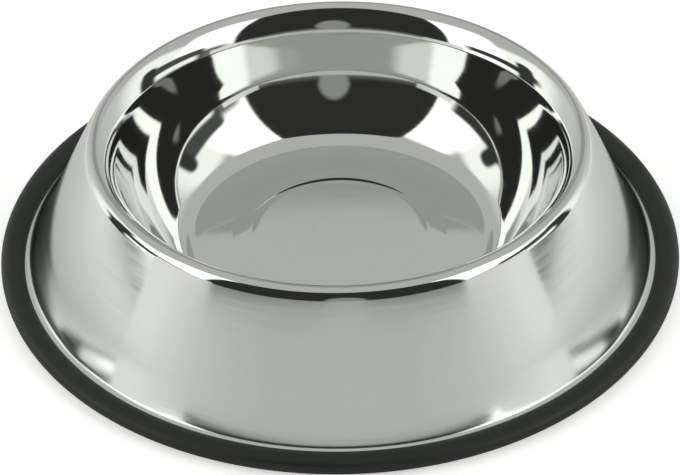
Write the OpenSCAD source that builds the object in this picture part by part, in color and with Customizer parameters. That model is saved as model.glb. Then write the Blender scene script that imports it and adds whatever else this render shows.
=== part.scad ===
// Non-tip pet bowl: one drawn stainless sheet and a rubber ring round its flange.
// The origin is on the table under the centre of the bowl, with +Z up.

/* [Overall] */
// Outer diameter of the rolled rim
rim_d = 204; // [160:1:260]
// Height of the rim above the table
bowl_h = 57.5; // [50:0.5:70]

/* [Rim] */
// Radius of the tight roll at the top of the rim
rim_roll_r = 3.7; // [2.5:0.1:5]
// Slope at which the tight roll runs into the shoulder inside the basin
rim_turn = 37.4; // [30:0.2:44]
// Radius of the rim's outer side, between the tight roll and the skirt
rim_side_r = 9; // [6:0.5:14]
// Slope at which the tight roll runs into the rim's outer side
rim_side_turn = 45; // [38:1:54]

/* [Basin] */
// Width of the basin's side, from the floor's edge to the rim's outer edge
side_w = 41.5; // [38:0.5:46]
// Height of the floor's lowest line above the table, at the floor's edge
floor_z = 6.4; // [5:0.1:12]
// Radius of the corner between the floor and the wall
corner_r = 12.8; // [8:0.1:16]
// Slope at which the corner runs into the wall
corner_turn = 40.1; // [34:0.1:46]
// Radius of the outward bulge between the wall and the rim
shoulder_r = 17.9; // [12:0.1:24]
// Length of the straight stretch between the hollow wall and the shoulder
wall_flat_l = 14.5; // [8:0.5:20]

/* [Floor] */
// Width of the floor's outer part, from its edge to the foot of the step
fall_w = 16; // [12:0.5:20]
// Slope at which the outer part falls to the floor's edge
fall_turn = 3.8; // [1:0.2:6]
// Width of the step, from its foot to the raised flat middle
step_w = 11.2; // [9:0.2:16]
// Slope of the step
step_turn = 12.3; // [8:0.1:15]
// Radius of the rounding between the step and the raised middle
step_top_r = 19.5; // [12:0.5:24]
// Radius of the hollow line at the foot of the step
step_foot_r = 2; // [1:0.5:5]

/* [Skirt] */
// Radius of the skirt's gentle bulge, seen in section
skirt_bulge_r = 360; // [240:10:600]
// Width of the skirt, from the rim's outer edge to the flat flange
skirt_w = 26.2; // [22:0.2:30]
// Radius of the hollow curve at the skirt's foot
foot_r = 3; // [2:0.1:6]

/* [Sheet] */
// Thickness of the steel sheet
sheet_t = 0.7; // [0.4:0.1:1.2]
// Width of the flat flange, from the skirt's foot to its cut edge
flange_w = 7.8; // [7:0.2:12]

/* [Ring] */
// Width of the rubber outside the flange's edge
ring_wall_w = 4; // [3:0.1:6]
// Width of the lip that lies over the flange
ring_lip_w = 5.7; // [4:0.1:7]
// Width of the sole that lies under the flange
ring_sole_w = 7; // [4:0.1:8]
// Thickness of the sole, which the flange rests on
ring_sole_h = 2.9; // [2:0.1:4]
// Thickness of the lip at its inner edge
ring_lip_h = 1.3; // [0.6:0.1:1.6]
// Height of the ring's crest above the lip's inner edge
ring_crown_h = 2; // [1:0.1:3]
// Radius of the ring's outer lower edge
ring_edge_r = 4.2; // [3:0.1:5]
// Bevel on the inner corners of the sole and the lip
ring_bevel = 0.3; // [0.1:0.1:0.5]
// Clearance all round the flange in the ring's groove
groove_gap = 0.1; // [0.05:0.05:0.2]

/* [Hidden] */
steel_colour = [0.77, 0.78, 0.77];
rubber_colour = [0.17, 0.19, 0.18];

// Steps round the axis and in each arc of the sections
$fn = 72;
step_top_steps = 2;
corner_steps = 5;
wall_steps = 4;
shoulder_steps = 4;
rim_steps = 8;
rim_side_steps = 2;
skirt_steps = 3;
foot_steps = 5;
ring_steps = 5;

// A section lies in the plane of radius and height. The sheet's visible face
// is followed by the angle of its normal, which is 0 straight up, negative
// where the face leans to the axis and positive where it leans away from it.
function ray(a) = [sin(a), cos(a)];

// Points of an arc about c. A hollow arc has a negative radius.
function bend(c, r, a0, a1, steps, first) =
    [for (i = [first:steps]) c + r * ray(a0 + (a1 - a0) * i / steps)];

// Outer radii of the rim, the basin floor, the skirt's foot and the flange
rim_outer_r = rim_d / 2;
floor_outer_r = rim_outer_r - side_w;
foot_outer_r = rim_outer_r + skirt_w;
flange_outer_r = foot_outer_r + flange_w;

// The flange's upper face lies over the ring's sole
flange_z = ring_sole_h + groove_gap + sheet_t;

// Centres of the corner, the rim's roll, the rim's outer side and the shoulder
corner_c = [floor_outer_r, floor_z + corner_r];
rim_c = [rim_outer_r - rim_roll_r, bowl_h - rim_roll_r];
rim_side_c = rim_c + (rim_roll_r - rim_side_r) * ray(rim_side_turn);
shoulder_c = rim_c + (rim_roll_r - shoulder_r) * ray(-rim_turn);

// The floor is raised in the middle. It is followed from its edge inwards: up
// the outer part to the hollow line at the step's foot, and up the step to the
// rounding that ends level with the raised middle.
fall_end = corner_c - corner_r * ray(fall_turn);
step_start_r = floor_outer_r - fall_w;
step_start_z = fall_end[1] + (fall_end[0] - step_start_r) * tan(fall_turn);
step_foot_c = [step_start_r, step_start_z] + step_foot_r * ray(fall_turn);
step_low = step_foot_c - step_foot_r * ray(step_turn);
middle_r = step_start_r - step_w;
step_flat_w = step_low[0] - middle_r - step_top_r * sin(step_turn);
step_top_h = step_top_r - step_top_r * cos(step_turn);
middle_z = step_low[1] + step_flat_w * tan(step_turn) + step_top_h;
step_top_c = [middle_r, middle_z - step_top_r];

// The wall's hollow arc starts where the corner ends. Its radius is the one
// that leaves wall_flat_l between it and the shoulder on their common tangent.
corner_end = corner_c - corner_r * ray(-corner_turn);
to_shoulder = shoulder_c - corner_end;
wall_r = (to_shoulder * to_shoulder - shoulder_r * shoulder_r - wall_flat_l * wall_flat_l)
    / (2 * (to_shoulder * ray(-corner_turn) + shoulder_r));
wall_c = corner_end + wall_r * ray(-corner_turn);
shoulder_to_wall = wall_c - shoulder_c;
wall_slope = atan2(-shoulder_to_wall[0], shoulder_to_wall[1])
    - atan2(wall_flat_l, shoulder_r + wall_r);

// The skirt's bulge touches the rim's outer side from outside and the foot's
// hollow arc from inside, so its centre follows from the two other centres.
foot_c = [foot_outer_r, flange_z + foot_r];
rim_to_foot = foot_c - rim_side_c;
rim_foot_l = norm(rim_to_foot);
bulge_to_rim = skirt_bulge_r - rim_side_r;
bulge_to_foot = skirt_bulge_r + foot_r;
bulge_along = (rim_foot_l * rim_foot_l + bulge_to_rim * bulge_to_rim
    - bulge_to_foot * bulge_to_foot) / (2 * rim_foot_l);
bulge_across = sqrt(bulge_to_rim * bulge_to_rim - bulge_along * bulge_along);
foot_way = rim_to_foot / rim_foot_l;
bulge_c = rim_side_c + bulge_along * foot_way + bulge_across * [foot_way[1], -foot_way[0]];
skirt_top_a = atan2(rim_side_c[0] - bulge_c[0], rim_side_c[1] - bulge_c[1]);
skirt_foot_a = atan2(foot_c[0] - bulge_c[0], foot_c[1] - bulge_c[1]);

// The line that lies depth below the sheet's visible face, from axis to edge
function sheet_line(depth) = concat(
    [[0, middle_z - depth]],
    bend(step_top_c, step_top_r - depth, 0, step_turn, step_top_steps, 0),
    bend(step_foot_c, -step_foot_r - depth, step_turn, fall_turn, 1, 0),
    bend(corner_c, -corner_r - depth, fall_turn, -corner_turn, corner_steps, 0),
    bend(wall_c, -wall_r - depth, -corner_turn, -wall_slope, wall_steps, 1),
    bend(shoulder_c, shoulder_r - depth, -wall_slope, -rim_turn, shoulder_steps, 0),
    bend(rim_c, rim_roll_r - depth, -rim_turn, rim_side_turn, rim_steps, 1),
    bend(rim_side_c, rim_side_r - depth, rim_side_turn, skirt_top_a, rim_side_steps, 1),
    bend(bulge_c, skirt_bulge_r - depth, skirt_top_a, skirt_foot_a, skirt_steps, 1),
    bend(foot_c, -foot_r - depth, skirt_foot_a, 0, foot_steps, 1),
    [[flange_outer_r, flange_z - depth]]
);

function backwards(points) = [for (i = [len(points) - 1:-1:0]) points[i]];

// Ring section: its crest stands over the centre of the outer edge's rounding
ring_r = flange_outer_r + ring_wall_w;
crest_r = ring_r - ring_edge_r;
lip_r = flange_outer_r - ring_lip_w;
sole_r = flange_outer_r - ring_sole_w;
groove_r = flange_outer_r + groove_gap;
groove_top = flange_z + groove_gap;
lip_z = groove_top + ring_lip_h;
ring_h = lip_z + ring_crown_h;

// The crown is the arc through the lip that lies level at the crest
crown_w = crest_r - lip_r;
crown_r = (crown_w * crown_w + ring_crown_h * ring_crown_h) / (2 * ring_crown_h);
crown_c = [crest_r, ring_h - crown_r];
crown_a = asin(crown_w / crown_r);
edge_c = [crest_r, ring_edge_r];

ring_outline = concat(
    [[sole_r, ring_bevel], [sole_r + ring_bevel, 0]],
    [for (i = [0:ring_steps])
        edge_c + ring_edge_r * ray(180 - 90 * i / ring_steps)],
    [for (i = [1:ring_steps])
        let (way = ray(90 - 90 * i / ring_steps))
        edge_c + [ring_edge_r * way[0], (ring_h - ring_edge_r) * way[1]]],
    bend(crown_c, crown_r, 0, -crown_a, ring_steps, 1),
    [[lip_r, groove_top + ring_bevel], [lip_r + ring_bevel, groove_top]],
    [[groove_r, groove_top], [groove_r, ring_sole_h]],
    [[sole_r, ring_sole_h]]
);

// One sheet drawn into basin, rolled rim, outer skirt and flat flange
module steel_bowl() {
    color(steel_colour)
        rotate_extrude()
            polygon(concat(sheet_line(0), backwards(sheet_line(sheet_t))));
}

// Rubber ring with a groove that grips the flange's edge
module rubber_ring() {
    color(rubber_colour)
        rotate_extrude()
            polygon(ring_outline);
}

steel_bowl();
rubber_ring();
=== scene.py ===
# Stainless non-tip bowl with a black rubber ring, dressed over its CAD frame.
# Lengths of the bowl are in millimetres until its mesh is made, those of the
# camera and the studio are in metres, and angles are in degrees.
import math

import bpy
from mathutils import Matrix, Vector


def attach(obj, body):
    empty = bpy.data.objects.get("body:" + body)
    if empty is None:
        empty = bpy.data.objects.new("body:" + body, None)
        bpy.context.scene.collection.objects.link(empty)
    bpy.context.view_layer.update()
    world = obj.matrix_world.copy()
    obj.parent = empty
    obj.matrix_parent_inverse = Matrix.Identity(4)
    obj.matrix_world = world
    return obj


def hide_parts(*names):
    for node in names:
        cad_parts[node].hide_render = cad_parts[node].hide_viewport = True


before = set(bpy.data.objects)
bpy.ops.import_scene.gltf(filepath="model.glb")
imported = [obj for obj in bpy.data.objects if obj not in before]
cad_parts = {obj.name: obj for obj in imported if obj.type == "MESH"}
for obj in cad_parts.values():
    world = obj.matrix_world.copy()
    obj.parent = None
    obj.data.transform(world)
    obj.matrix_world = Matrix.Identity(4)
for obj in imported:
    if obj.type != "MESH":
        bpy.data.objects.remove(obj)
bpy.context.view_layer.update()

MM = 0.001

# Sides of each turned piece, the angle up to which its faces shade as one
# surface, and how near to each other its points are merged
ROUND = 240
SMOOTH_ANGLE = 40
MERGE_GAP = 0.01

# Camera at the photograph's place, fitted to the outlines of ring, rim and
# floor. The roll is in radians, and sensor and lens are in millimetres.
CAMERA_PLACE = (0, -0.78767, 0.61610)
CAMERA_PITCH = 37.819
CAMERA_ROLL = -0.01432
SENSOR_W = 36
LENS_L = 127.131
LENS_SHIFT = 0.0003
NEAR_CLIP = 0.01


def place_camera():
    pitch = math.radians(CAMERA_PITCH)
    level = Vector((1, 0, 0))
    above = Vector((0, math.sin(pitch), math.cos(pitch)))
    ahead = Vector((0, math.cos(pitch), -math.sin(pitch)))
    right = level * math.cos(CAMERA_ROLL) + above * math.sin(CAMERA_ROLL)
    up = above * math.cos(CAMERA_ROLL) - level * math.sin(CAMERA_ROLL)
    lens = bpy.data.cameras.new("photo_camera")
    lens.sensor_width = SENSOR_W
    lens.lens = LENS_L
    lens.shift_x = LENS_SHIFT
    lens.clip_start = NEAR_CLIP
    camera = bpy.data.objects.new("photo_camera", lens)
    bpy.context.scene.collection.objects.link(camera)
    turn = Matrix((right, up, -ahead)).transposed().to_4x4()
    camera.matrix_world = Matrix.Translation(CAMERA_PLACE) @ turn
    bpy.context.scene.camera = camera


place_camera()

bpy.context.scene.view_settings.view_transform = "Standard"

# The polished basin mirrors itself many times over at its sides
MIRROR_BOUNCES = 12
bpy.context.scene.cycles.glossy_bounces = MIRROR_BOUNCES

# Sizes of the sheet, with the CAD source's names and values where it has them.
# Three differ: the skirt flares out above its foot, within 0.6 mm of the CAD's
# plain bulge, the foot's curve ends 1.5 mm further out, and the height is
# 0.02 mm less, so that the finer mesh stays inside the facets of the CAD's box.
rim_outer_r = 102
bowl_h = 57.48
rim_roll_r = 3.7
rim_turn = 37.4
rim_side_r = 9
rim_side_turn = 45
floor_outer_r = 60.5
floor_z = 6.4
corner_r = 12.8
corner_turn = 40.1
shoulder_r = 17.9
wall_flat_l = 14.5
fall_w = 16
fall_turn = 3.8
step_w = 11.2
step_turn = 12.3
step_top_r = 19.5
step_foot_r = 2
skirt_bulge_r = 500
flare_r = 55
flare_turn = 52
foot_outer_r = 129.7
foot_r = 3
flange_outer_r = 136
sheet_t = 0.7
flange_z = 3.7

# Sizes of the rubber ring, as in the CAD source, with the radius 0.05 mm less
# for the same reason
ring_r = 139.95
ring_h = 7.1
lip_r = 130.3
lip_z = 5.1
sole_r = 129
sole_h = 2.9
groove_r = 136.1
groove_top = 3.8
ring_edge_r = 4.2
ring_crown_h = 2
ring_bevel = 0.3

# How the ring's lip rounds off: its radius, how far it sinks below the crown,
# and how many degrees before the lip the crown ends
lip_round_r = 0.5
lip_sink = 0.02
crown_stop = 6

# Degrees between the points of the ring's rounded outer side
ring_side_step = 6

# A straight stretch gets a point this close to each end, which keeps it
# straight where smooth shading meets the next arc
straight_end = 0.4


# Direction of a face's normal in the section's plane: 0 is straight up,
# positive leans away from the axis
def ray(angle):
    a = math.radians(angle)
    return Vector((math.sin(a), math.cos(a)))


# Points along an arc from one direction to another, at most a step apart
def arc(centre, radius, first, last, step):
    count = max(1, math.ceil(abs(last - first) / step))
    return [centre + ray(first + (last - first) * i / count) * radius
            for i in range(count + 1)]


def straight(start, end):
    way = (end - start).normalized() * straight_end
    return [start + way, end - way]


# The sheet's visible side, as distances from the axis and heights: the basin
# from its middle up over the rim, and the skirt down to the flange's edge
def sheet_section():
    corner_c = Vector((floor_outer_r, floor_z + corner_r))
    rim_c = Vector((rim_outer_r - rim_roll_r, bowl_h - rim_roll_r))
    rim_side_c = rim_c + ray(rim_side_turn) * (rim_roll_r - rim_side_r)
    shoulder_c = rim_c + ray(-rim_turn) * (rim_roll_r - shoulder_r)

    # The hollow wall has the radius at which it runs without a kink into the
    # corner below it and the straight stretch under the shoulder
    corner_end = corner_c - ray(-corner_turn) * corner_r
    across = shoulder_c - corner_end
    wall_r = ((across.dot(across) - shoulder_r ** 2 - wall_flat_l ** 2)
              / (2 * (across.dot(ray(-corner_turn)) + shoulder_r)))
    wall_c = corner_end + ray(-corner_turn) * wall_r
    between = wall_c - shoulder_c
    wall_slope = (math.degrees(math.atan2(-between.x, between.y))
                  - math.degrees(math.atan2(wall_flat_l, shoulder_r + wall_r)))

    # The floor falls from its raised middle over the step to the corner
    fall_end = corner_c - ray(fall_turn) * corner_r
    step_start_r = floor_outer_r - fall_w
    fall_h = (fall_end.x - step_start_r) * math.tan(math.radians(fall_turn))
    step_start = Vector((step_start_r, fall_end.y + fall_h))
    step_foot_c = step_start + ray(fall_turn) * step_foot_r
    step_low = step_foot_c - ray(step_turn) * step_foot_r
    middle_r = step_start_r - step_w
    step_flat_w = step_low.x - middle_r - step_top_r * math.sin(math.radians(step_turn))
    middle_z = (step_low.y + step_flat_w * math.tan(math.radians(step_turn))
                + step_top_r * (1 - math.cos(math.radians(step_turn))))
    step_top_c = Vector((middle_r, middle_z - step_top_r))

    # The skirt's bulge touches the rim's side above it and the flare below it
    foot_c = Vector((foot_outer_r, flange_z + foot_r))
    flare_c = foot_c + ray(flare_turn) * (flare_r - foot_r)
    down = flare_c - rim_side_c
    near = skirt_bulge_r - rim_side_r
    far = skirt_bulge_r + flare_r
    along = (down.length ** 2 + near ** 2 - far ** 2) / (2 * down.length)
    aside = math.sqrt(near ** 2 - along ** 2)
    way = down.normalized()
    bulge_c = rim_side_c + way * along + Vector((way.y, -way.x)) * aside
    to_top = rim_side_c - bulge_c
    to_foot = flare_c - bulge_c
    skirt_top = math.degrees(math.atan2(to_top.x, to_top.y))
    skirt_foot = math.degrees(math.atan2(to_foot.x, to_foot.y))

    # The wider an arc's radius, the fewer degrees lie between its points
    step_top = arc(step_top_c, step_top_r, 0, step_turn, 1.2)
    step_foot = arc(step_foot_c, -step_foot_r, step_turn, fall_turn, 2)
    corner = arc(corner_c, -corner_r, fall_turn, -corner_turn, 1.8)
    wall = arc(wall_c, -wall_r, -corner_turn, -wall_slope, 1.2)
    shoulder = arc(shoulder_c, shoulder_r, -wall_slope, -rim_turn, 1.5)
    rim = arc(rim_c, rim_roll_r, -rim_turn, rim_side_turn, 3)
    rim_side = arc(rim_side_c, rim_side_r, rim_side_turn, skirt_top, 1.5)
    bulge = arc(bulge_c, skirt_bulge_r, skirt_top, skirt_foot, 0.5)
    flare = arc(flare_c, -flare_r, skirt_foot, flare_turn, 1)
    foot = arc(foot_c, -foot_r, flare_turn, 0, 4)
    flange_edge = Vector((flange_outer_r, flange_z))
    basin = ([Vector((middle_r - straight_end, middle_z))]
             + step_top + straight(step_top[-1], step_foot[0])
             + step_foot + straight(step_foot[-1], corner[0])
             + corner + wall[1:] + straight(wall[-1], shoulder[0])
             + shoulder + rim[1:] + rim_side[1:])
    skirt = (bulge[1:] + flare[1:] + foot[1:]
             + straight(foot[-1], flange_edge) + [flange_edge])
    return basin, skirt


# The ring's section, once round: sole, outer side, crown, lip and groove
def ring_section():
    crest_r = ring_r - ring_edge_r
    edge_c = Vector((crest_r, ring_edge_r))
    low_side = [edge_c + ray(180 - a) * ring_edge_r for a in range(0, 91, ring_side_step)]
    tall = ring_h - ring_edge_r
    high_side = [edge_c + Vector((ring_edge_r * ray(a).x, tall * ray(a).y))
                 for a in range(90 - ring_side_step, -1, -ring_side_step)]
    crown_w = crest_r - lip_r
    crown_r = (crown_w ** 2 + ring_crown_h ** 2) / (2 * ring_crown_h)
    crown_turn = math.degrees(math.asin(crown_w / crown_r))
    crown = arc(Vector((crest_r, ring_h - crown_r)), crown_r, 0, crown_stop - crown_turn, 4)
    lip_c = Vector((lip_r + lip_round_r, lip_z - lip_round_r - lip_sink))
    lip = arc(lip_c, lip_round_r, -30, -90, 12)
    sole_start = Vector((sole_r + ring_bevel, 0))
    return ([Vector((sole_r, ring_bevel)), sole_start]
            + straight(sole_start, Vector((crest_r, 0)))
            + low_side + high_side + crown[1:] + lip
            + [Vector((lip_r, groove_top + ring_bevel)),
               Vector((lip_r + ring_bevel, groove_top)),
               Vector((groove_r, groove_top)), Vector((groove_r, sole_h)),
               Vector((sole_r, sole_h))])


# The circle that a turned piece starts from, open in edit mode
def loop_at(name, point, fill):
    bpy.ops.object.select_all(action="DESELECT")
    bpy.ops.mesh.primitive_circle_add(vertices=ROUND, radius=point.x * MM, fill_type=fill,
                                      location=(0, 0, point.y * MM))
    piece = bpy.context.active_object
    piece.name = name
    piece.data.name = name
    bpy.ops.object.transform_apply(location=True, rotation=True, scale=True)
    bpy.ops.object.mode_set(mode="EDIT")
    bpy.ops.mesh.select_mode(type="EDGE")
    return piece


# Draws the selected loop out along the section, one point after another
def draw_out(start, points):
    here = start
    for there in points:
        climb = (there.y - here.y) * MM
        bpy.ops.mesh.extrude_edges_move(TRANSFORM_OT_translate={"value": (0, 0, climb)})
        wider = there.x / here.x
        bpy.ops.transform.resize(value=(wider, wider, 1), center_override=(0, 0, 0))
        here = there


def close_up():
    bpy.ops.mesh.select_all(action="SELECT")
    bpy.ops.mesh.remove_doubles(threshold=MERGE_GAP * MM)
    bpy.ops.mesh.normals_make_consistent(inside=False)
    bpy.ops.object.mode_set(mode="OBJECT")


# The bowl starts as its floor's flat middle and is drawn outwards as one sheet.
# Basin and rim are mirror polished, and the skirt, the underside and the
# sheet's edge have the satin finish.
def make_bowl():
    basin, skirt = sheet_section()
    bowl = loop_at("polished_bowl", basin[0], "NGON")
    bpy.ops.mesh.select_all(action="DESELECT")
    bpy.ops.mesh.select_non_manifold()
    draw_out(basin[0], basin[1:] + skirt)
    close_up()
    bowl.data.materials.append(mirror_steel())
    bowl.data.materials.append(satin_steel())
    mirror, satin = 0, 1
    skirt_start = basin[-1]
    skirt_r = (skirt_start.x - MERGE_GAP) * MM
    for face in bowl.data.polygons:
        reach = min(math.hypot(*bowl.data.vertices[v].co.xy) for v in face.vertices)
        on_skirt = reach > skirt_r and face.center.z < skirt_start.y * MM
        face.material_index = satin if on_skirt else mirror
    if bowl.data.polygons[0].normal.z < 0:
        bowl.data.flip_normals()
    sheet = bowl.modifiers.new("sheet", "SOLIDIFY")
    sheet.thickness = sheet_t * MM
    sheet.offset = -1
    sheet.use_even_offset = True
    sheet.material_offset = satin
    sheet.material_offset_rim = satin
    bpy.ops.object.modifier_apply(modifier="sheet")
    bpy.ops.object.shade_smooth_by_angle(angle=math.radians(SMOOTH_ANGLE))
    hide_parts("steel_bowl")
    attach(bowl, "root")


# The ring's section is drawn out all the way round to where it started
def make_ring():
    section = ring_section()
    ring = loop_at("rubber_band", section[0], "NOTHING")
    bpy.ops.mesh.select_all(action="SELECT")
    draw_out(section[0], section[1:] + section[:1])
    close_up()
    ring.data.materials.append(black_rubber())
    bpy.ops.object.shade_smooth_by_angle(angle=math.radians(SMOOTH_ANGLE))
    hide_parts("rubber_ring")
    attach(ring, "root")


# Colour from its sRGB hex value
def colour(code):
    parts = [int(code[i:i + 2], 16) / 255 for i in (1, 3, 5)]
    return tuple(c / 12.92 if c <= 0.04045 else ((c + 0.055) / 1.055) ** 2.4
                 for c in parts) + (1,)


# Adds a node, with its settings by name and the sockets that feed it
def add(tree, kind, settings=None, links=None):
    node = tree.nodes.new(kind)
    for name, value in (settings or {}).items():
        if isinstance(name, str) and hasattr(node, name):
            setattr(node, name, value)
        else:
            node.inputs[name].default_value = value
    for name, source in (links or {}).items():
        tree.links.new(source, node.inputs[name])
    return node


# Sockets of a Mix node that mixes colours. Their names are those of other
# sockets too, so they go by number.
MIX_FROM = 6
MIX_TO = 7
MIX_OUT = 2


def new_material(name):
    material = bpy.data.materials.new(name)
    material.use_nodes = True
    tree = material.node_tree
    tree.nodes.clear()
    return material, tree


# Places round the axis as distance from it and height, both in units of one
# spacing, so that a noise read there makes rings as a polishing wheel leaves.
# The third number, across the bowl in units of the drift, lets them change.
def rings_of(tree, spacing, drift):
    place = add(tree, "ShaderNodeTexCoord")
    parts = add(tree, "ShaderNodeSeparateXYZ", links={0: place.outputs["Object"]})
    flat = add(tree, "ShaderNodeCombineXYZ",
               links={"X": parts.outputs["X"], "Y": parts.outputs["Y"]})
    reach = add(tree, "ShaderNodeVectorMath", {"operation": "LENGTH"}, {0: flat.outputs[0]})
    outward = add(tree, "ShaderNodeMath", {"operation": "DIVIDE", 1: spacing * MM},
                  {0: reach.outputs["Value"]})
    upward = add(tree, "ShaderNodeMath", {"operation": "DIVIDE", 1: spacing * MM},
                 {0: parts.outputs["Z"]})
    across = add(tree, "ShaderNodeMath", {"operation": "DIVIDE", 1: drift * MM},
                 {0: parts.outputs["X"]})
    rings = add(tree, "ShaderNodeCombineXYZ",
                links={"X": outward.outputs[0], "Y": upward.outputs[0],
                       "Z": across.outputs[0]})
    return rings.outputs[0]


# Stainless steel, buffed to a mirror on a turning wheel: sharp reflections that
# waver, over 24 mm, where the pressed sheet is not quite true, with faint rings
# round the axis. Real buffing rings are 0.1 mm apart and are drawn 1.1 mm apart
# to show.
def mirror_steel():
    material, tree = new_material("mirror_polished_stainless_steel")
    place = add(tree, "ShaderNodeTexCoord")
    wave = add(tree, "ShaderNodeTexNoise",
               {"Scale": 1 / (24 * MM), "Detail": 1.0, "Roughness": 0.4},
               {"Vector": place.outputs["Object"]})
    bent = add(tree, "ShaderNodeBump", {"Strength": 1.0, "Distance": 0.03 * MM},
               {"Height": wave.outputs[0]})
    lines = add(tree, "ShaderNodeTexNoise", {"Scale": 1.0, "Detail": 3.0, "Roughness": 0.7},
                {"Vector": rings_of(tree, 1.1, 30)})
    ringed = add(tree, "ShaderNodeBump", {"Strength": 1.0, "Distance": 0.0006 * MM},
                 {"Height": lines.outputs[0], "Normal": bent.outputs[0]})
    rough = add(tree, "ShaderNodeMapRange",
                {"From Min": 0.3, "From Max": 0.7, "To Min": 0.02, "To Max": 0.07},
                {"Value": lines.outputs[0]})
    tint = add(tree, "ShaderNodeMix",
               {"data_type": "RGBA", MIX_FROM: colour("#D5D6D4"), MIX_TO: colour("#DBDCDA")},
               {0: lines.outputs[0]})
    surface = add(tree, "ShaderNodeBsdfPrincipled", {"Metallic": 1.0},
                  {"Base Color": tint.outputs[MIX_OUT], "Roughness": rough.outputs[0],
                   "Normal": ringed.outputs[0]})
    add(tree, "ShaderNodeOutputMaterial", links={"Surface": surface.outputs["BSDF"]})
    return material


# Stainless steel, finished with a fine belt while the bowl turns: reflections
# drawn out up and down the skirt, across the fine rings round the axis, and
# slow waves of 45 mm. The rings are 0.2 mm apart in life and 1.4 mm apart here,
# so that they show.
def satin_steel():
    material, tree = new_material("satin_stainless_steel")
    place = add(tree, "ShaderNodeTexCoord")
    wave = add(tree, "ShaderNodeTexNoise",
               {"Scale": 1 / (45 * MM), "Detail": 1.0, "Roughness": 0.4},
               {"Vector": place.outputs["Object"]})
    bent = add(tree, "ShaderNodeBump", {"Strength": 1.0, "Distance": 0.04 * MM},
               {"Height": wave.outputs[0]})
    lines = add(tree, "ShaderNodeTexNoise", {"Scale": 1.0, "Detail": 4.0, "Roughness": 0.75},
                {"Vector": rings_of(tree, 1.4, 60)})
    ringed = add(tree, "ShaderNodeBump", {"Strength": 1.0, "Distance": 0.0006 * MM},
                 {"Height": lines.outputs[0], "Normal": bent.outputs[0]})
    rough = add(tree, "ShaderNodeMapRange",
                {"From Min": 0.3, "From Max": 0.7, "To Min": 0.12, "To Max": 0.2},
                {"Value": lines.outputs[0]})
    tint = add(tree, "ShaderNodeMix",
               {"data_type": "RGBA", MIX_FROM: colour("#D7D9D7"), MIX_TO: colour("#DCDEDC")},
               {0: lines.outputs[0]})
    turn = add(tree, "ShaderNodeTangent", {"direction_type": "RADIAL", "axis": "Z"})
    surface = add(tree, "ShaderNodeBsdfPrincipled",
                  {"Metallic": 1.0, "Anisotropic": 0.6, "Anisotropic Rotation": 0.25},
                  {"Base Color": tint.outputs[MIX_OUT], "Roughness": rough.outputs[0],
                   "Normal": ringed.outputs[0], "Tangent": turn.outputs[0]})
    add(tree, "ShaderNodeOutputMaterial", links={"Surface": surface.outputs["BSDF"]})
    return material


# Moulded rubber, nearly black and half matt: a fine grain of 0.8 mm from the
# mould, and cloudy changes of shade and gloss, 18 mm wide, where it has been
# handled
def black_rubber():
    material, tree = new_material("black_moulded_rubber")
    place = add(tree, "ShaderNodeTexCoord")
    grain = add(tree, "ShaderNodeTexNoise",
                {"Scale": 1 / (0.8 * MM), "Detail": 2.0, "Roughness": 0.6},
                {"Vector": place.outputs["Object"]})
    cloud = add(tree, "ShaderNodeTexNoise",
                {"Scale": 1 / (18 * MM), "Detail": 3.0, "Roughness": 0.6},
                {"Vector": place.outputs["Object"]})
    dull = add(tree, "ShaderNodeMapRange",
               {"From Min": 0.3, "From Max": 0.7, "To Min": 0.4, "To Max": 0.56},
               {"Value": cloud.outputs[0]})
    tint = add(tree, "ShaderNodeMix",
               {"data_type": "RGBA", MIX_FROM: colour("#111413"), MIX_TO: colour("#191C1B")},
               {0: cloud.outputs[0]})
    skin = add(tree, "ShaderNodeBump", {"Strength": 0.6, "Distance": 0.03 * MM},
               {"Height": grain.outputs[0]})
    surface = add(tree, "ShaderNodeBsdfPrincipled",
                  links={"Base Color": tint.outputs[MIX_OUT], "Roughness": dull.outputs[0],
                         "Normal": skin.outputs[0]})
    add(tree, "ShaderNodeOutputMaterial", links={"Surface": surface.outputs["BSDF"]})
    return material


# The studio's white, a touch green as lamps behind diffusers are, and the
# neutral white of its floor
STUDIO_WHITE = colour("#FBFFF8")
FLOOR_WHITE = colour("#EFEFEF")

# Width of the plain floor, and its distance under the rubber's flat sole. It
# glows for the camera, so that it is seen as white, and for the steel, more so
# at the sides, where the softboxes stand close to it.
FLOOR_W = 6
FLOOR_GAP = 0.1 * MM
FLOOR_GLOW = colour("#FFFFFF")
GLOW_SEEN = 0.55
GLOW_MIRRORED = {"From Min": 0.12, "From Max": 0.4, "To Min": 0.06, "To Max": 0.43}


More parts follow.
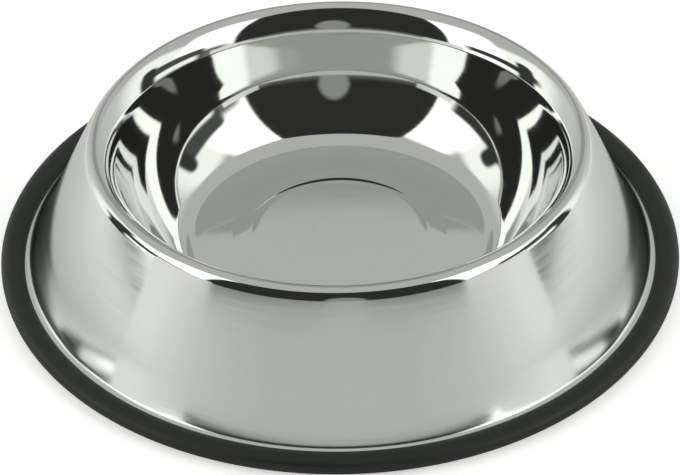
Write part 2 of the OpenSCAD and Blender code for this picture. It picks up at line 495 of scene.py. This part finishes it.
# From below the floor is clear, to show the underside
def make_floor():
    bpy.ops.object.select_all(action="DESELECT")
    bpy.ops.mesh.primitive_plane_add(size=FLOOR_W, location=(0, 0, -FLOOR_GAP))
    floor = bpy.context.active_object
    floor.name = "studio_floor"
    material, tree = new_material("white_studio_floor")
    path = add(tree, "ShaderNodeLightPath")
    paint = add(tree, "ShaderNodeBsdfDiffuse", {"Color": FLOOR_WHITE})
    seen = add(tree, "ShaderNodeMath", {"operation": "MULTIPLY", 1: GLOW_SEEN},
               {0: path.outputs["Is Camera Ray"]})
    place = add(tree, "ShaderNodeTexCoord")
    parts = add(tree, "ShaderNodeSeparateXYZ", links={0: place.outputs["Object"]})
    aside = add(tree, "ShaderNodeMath", {"operation": "ABSOLUTE"}, {0: parts.outputs["X"]})
    lit = add(tree, "ShaderNodeMapRange", GLOW_MIRRORED, {"Value": aside.outputs[0]})
    mirrored = add(tree, "ShaderNodeMath", {"operation": "MULTIPLY"},
                   {0: path.outputs["Is Glossy Ray"], 1: lit.outputs[0]})
    level = add(tree, "ShaderNodeMath", {"operation": "ADD"},
                {0: seen.outputs[0], 1: mirrored.outputs[0]})
    glow = add(tree, "ShaderNodeEmission", {"Color": FLOOR_GLOW},
               {"Strength": level.outputs[0]})
    both = add(tree, "ShaderNodeAddShader", links={0: paint.outputs[0], 1: glow.outputs[0]})
    side = add(tree, "ShaderNodeNewGeometry")
    clear = add(tree, "ShaderNodeBsdfTransparent")
    shown = add(tree, "ShaderNodeMixShader",
                links={0: side.outputs["Backfacing"], 1: both.outputs[0],
                       2: clear.outputs[0]})
    add(tree, "ShaderNodeOutputMaterial", links={"Surface": shown.outputs[0]})
    floor.data.materials.append(material)
    bpy.ops.object.transform_apply(location=True, rotation=True, scale=True)


# Brightness of the studio between its panels, and of the white that the camera
# sees in its place
STUDIO_LEVEL = 0.6
BACKDROP_LEVEL = 1

# The studio round the bowl, as flat upright panels. Each one has the direction
# it stands in, in degrees from the front, its left, right, bottom and top as
# tangents seen from the bowl, the softness of its sides and of its top, how far
# its corners are rounded, and its brightness. Later panels cover earlier ones,
# and the flags, gap, arches and notch are dark.
PANELS = [
    ("left_back_glow", -124, -0.38, 0.4, -0.3, 0.75, 0.3, 0.25, 1, 0.8),
    ("right_back_glow", 122, -0.35, 0.38, -0.3, 0.65, 0.3, 0.25, 1, 0.76),
    ("back_wall", 180, -0.27, 0.27, -0.3, 0.7536, 0.02, 0.012, 1, 0.4),
    ("left_softbox_end", -100, -0.45, 0.4, -0.3, 0.78, 0.2, 0.08, 1, 1.35),
    ("right_softbox_end", 100, -0.4, 0.4, -0.3, 0.9, 0.2, 0.1, 1, 1.3),
    ("left_softbox", -47, -0.9, 0, -0.3, 1.42, 0.16, 0.12, 1, 2.05),
    ("right_softbox", 42, 0, 0.97, -0.3, 1.66, 0.14, 0.14, 1, 2.05),
    ("left_low_gap", -88, -0.3, 0.42, -0.3, 0.06, 0.1, 0.05, 1, 0.12),
    ("left_low_flag", -88, -0.45, 0.41, 0.19, 0.36, 0.08, 0.03, 1, 0.05),
    ("right_low_haze", 90, -0.72, -0.2, -0.3, 0.38, 0.16, 0.1, 1, 0.2),
    ("right_low_flag", 90, -0.4, 0.3, -0.3, 0.48, 0.04, 0.03, 2, 0.09),
    ("right_low_strip", 85, -0.23, 0.25, 0.09, 0.25, 0.05, 0.03, 1, 1.3),
    ("left_arch", -103, -0.1, 0.1, -0.3, 0.53, 0.03, 0.03, 3, 0.05),
    ("right_arch", 103, -0.07, 0.1, -0.3, 0.56, 0.03, 0.03, 3, 0.05),
    ("front_flag", 0, -1.5, 1.27, 0.17, 2.72, 0.07, 0.16, 1, 0.035),
    ("notch", 2, -0.15, 0.15, 0.1, 0.68, 0.03, 0.07, 5, 0.34),
]


# Every panel is a soft-edged patch of the world's light. A direction is turned
# until the panel stands straight in front, and taken as a spot on the panel's
# plane, one unit away. A direction to the other side ends two units from that
# plane, and so misses the panel.
def light_studio():
    world = bpy.data.worlds.new("studio")
    bpy.context.scene.world = world
    world.use_nodes = True
    tree = world.node_tree
    tree.nodes.clear()
    place = add(tree, "ShaderNodeTexCoord")
    level = add(tree, "ShaderNodeValue")
    level.outputs[0].default_value = STUDIO_LEVEL
    light = level.outputs[0]
    for name, facing, left, right, low, high, soft_side, soft_top, corner, strength in PANELS:
        middle = ((left + right) / 2, -1, (low + high) / 2)
        inner = ((right - left) / 2 / soft_side - corner, 0,
                 (high - low) / 2 / soft_top - corner)
        turned = add(tree, "ShaderNodeVectorRotate",
                     {"rotation_type": "Z_AXIS", "Angle": -math.radians(facing)},
                     {"Vector": place.outputs["Generated"]})
        parts = add(tree, "ShaderNodeSeparateXYZ", links={0: turned.outputs[0]})
        depth = add(tree, "ShaderNodeMath", {"operation": "ABSOLUTE"},
                    {0: parts.outputs["Y"]})
        spot = add(tree, "ShaderNodeVectorMath", {"operation": "DIVIDE"},
                   {0: turned.outputs[0], 1: depth.outputs[0]})
        away = add(tree, "ShaderNodeVectorMath", {"operation": "SUBTRACT", 1: middle},
                   {0: spot.outputs[0]})
        apart = add(tree, "ShaderNodeVectorMath", {"operation": "ABSOLUTE"},
                    {0: away.outputs[0]})
        steps = add(tree, "ShaderNodeVectorMath",
                    {"operation": "MULTIPLY", 1: (1 / soft_side, 1 / soft_side, 1 / soft_top)},
                    {0: apart.outputs[0]})
        beyond = add(tree, "ShaderNodeVectorMath", {"operation": "SUBTRACT", 1: inner},
                     {0: steps.outputs[0]})
        past = add(tree, "ShaderNodeVectorMath", {"operation": "MAXIMUM", 1: (0, 0, 0)},
                   {0: beyond.outputs[0]})
        reach = add(tree, "ShaderNodeVectorMath", {"operation": "LENGTH"},
                    {0: past.outputs[0]})
        cover = add(tree, "ShaderNodeMapRange",
                    {"interpolation_type": "SMOOTHSTEP", "From Min": corner - 1,
                     "From Max": corner + 1, "To Min": 1, "To Max": 0},
                    {"Value": reach.outputs["Value"]})
        panel = add(tree, "ShaderNodeMix", {"data_type": "FLOAT", "B": strength},
                    {"Factor": cover.outputs[0], "A": light})
        panel.label = name
        light = panel.outputs[0]
    path = add(tree, "ShaderNodeLightPath")
    seen = add(tree, "ShaderNodeMix", {"data_type": "FLOAT", "B": BACKDROP_LEVEL},
               {"Factor": path.outputs["Is Camera Ray"], "A": light})
    glow = add(tree, "ShaderNodeBackground", {"Color": STUDIO_WHITE},
               {"Strength": seen.outputs[0]})
    add(tree, "ShaderNodeOutputWorld", links={"Surface": glow.outputs[0]})


# Low white cards stand in front of the bowl, under the camera's view. The front
# of the skirt and the rim mirror them, and they light nothing else. Each has
# its name, the two ends of its foot and its height.
CARDS = [
    ("front_card", (-0.285, -0.27), (0.285, -0.27), 0.106),
    ("left_card", (-0.34, -0.12), (-0.285, -0.27), 0.135),
    ("right_card", (0.285, -0.27), (0.34, -0.115), 0.135),
]

# They are brighter towards the sides, where the softboxes stand close to them:
# the first glow grows along the front card, the second adds to it beyond
FRONT_GLOW = {"From Min": 0.1, "From Max": 0.285, "To Min": 0.61, "To Max": 0.75}
SIDE_GLOW = {"From Min": 0.285, "From Max": 0.325, "To Min": 0.0, "To Max": 0.25}


def make_cards():
    material, tree = new_material("white_reflector_card")
    place = add(tree, "ShaderNodeTexCoord")
    parts = add(tree, "ShaderNodeSeparateXYZ", links={0: place.outputs["Object"]})
    aside = add(tree, "ShaderNodeMath", {"operation": "ABSOLUTE"}, {0: parts.outputs["X"]})
    front = add(tree, "ShaderNodeMapRange", FRONT_GLOW, {"Value": aside.outputs[0]})
    side = add(tree, "ShaderNodeMapRange", SIDE_GLOW, {"Value": aside.outputs[0]})
    level = add(tree, "ShaderNodeMath", {"operation": "ADD"},
                {0: front.outputs[0], 1: side.outputs[0]})
    glow = add(tree, "ShaderNodeEmission", {"Color": STUDIO_WHITE},
               {"Strength": level.outputs[0]})
    add(tree, "ShaderNodeOutputMaterial", links={"Surface": glow.outputs[0]})
    upright = math.radians(90)
    for name, start, end, height in CARDS:
        way = Vector(end) - Vector(start)
        middle = (Vector(end) + Vector(start)) / 2
        bpy.ops.object.select_all(action="DESELECT")
        bpy.ops.mesh.primitive_plane_add(size=1, location=(middle.x, middle.y, height / 2),
                                         rotation=(upright, 0, math.atan2(way.y, way.x)))
        card = bpy.context.active_object
        card.name = name
        card.scale = (way.length, height, 1)
        bpy.ops.object.transform_apply(location=True, rotation=True, scale=True)
        card.data.materials.append(material)
        card.visible_camera = False
        card.visible_diffuse = False
        card.visible_shadow = False


light_studio()
make_floor()
make_cards()
make_bowl()
make_ring()
